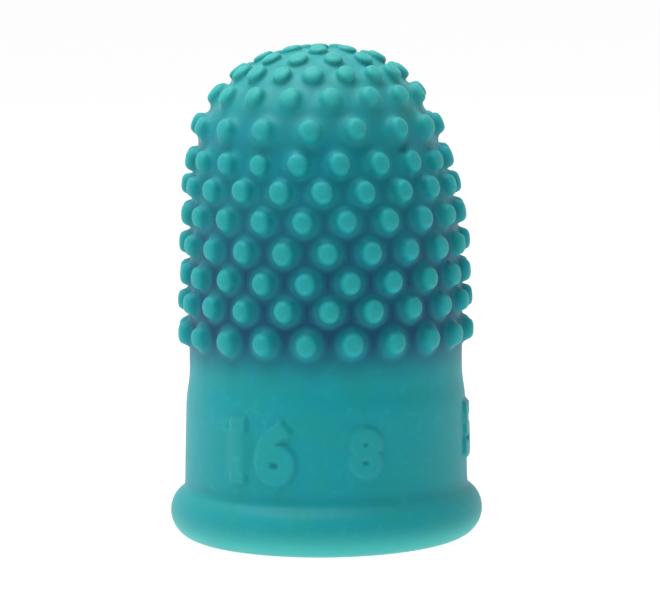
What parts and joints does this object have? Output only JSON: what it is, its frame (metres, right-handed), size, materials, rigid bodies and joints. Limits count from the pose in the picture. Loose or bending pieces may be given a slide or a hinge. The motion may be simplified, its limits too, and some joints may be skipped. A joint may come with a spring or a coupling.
{
  "type": "rubber finger tip",
  "caption": "Thimble-shaped rubber cover for a fingertip, with a rolled foot, a smooth band and a domed end covered in small gripping studs.",
  "frame": {"origin": "on the axis of the finger, in the plane that the rolled foot rests on", "axes": "+Z along the axis from the open foot to the domed end; -Y towards the side that the picture shows"},
  "size_m": [0.0214, 0.0214, 0.0337],
  "materials": {
    "rubber": "satin moulded natural rubber, teal all through"
  },
  "bodies": {
    "root": {"finger_tip": "rubber"}
  },
  "joints": []
}
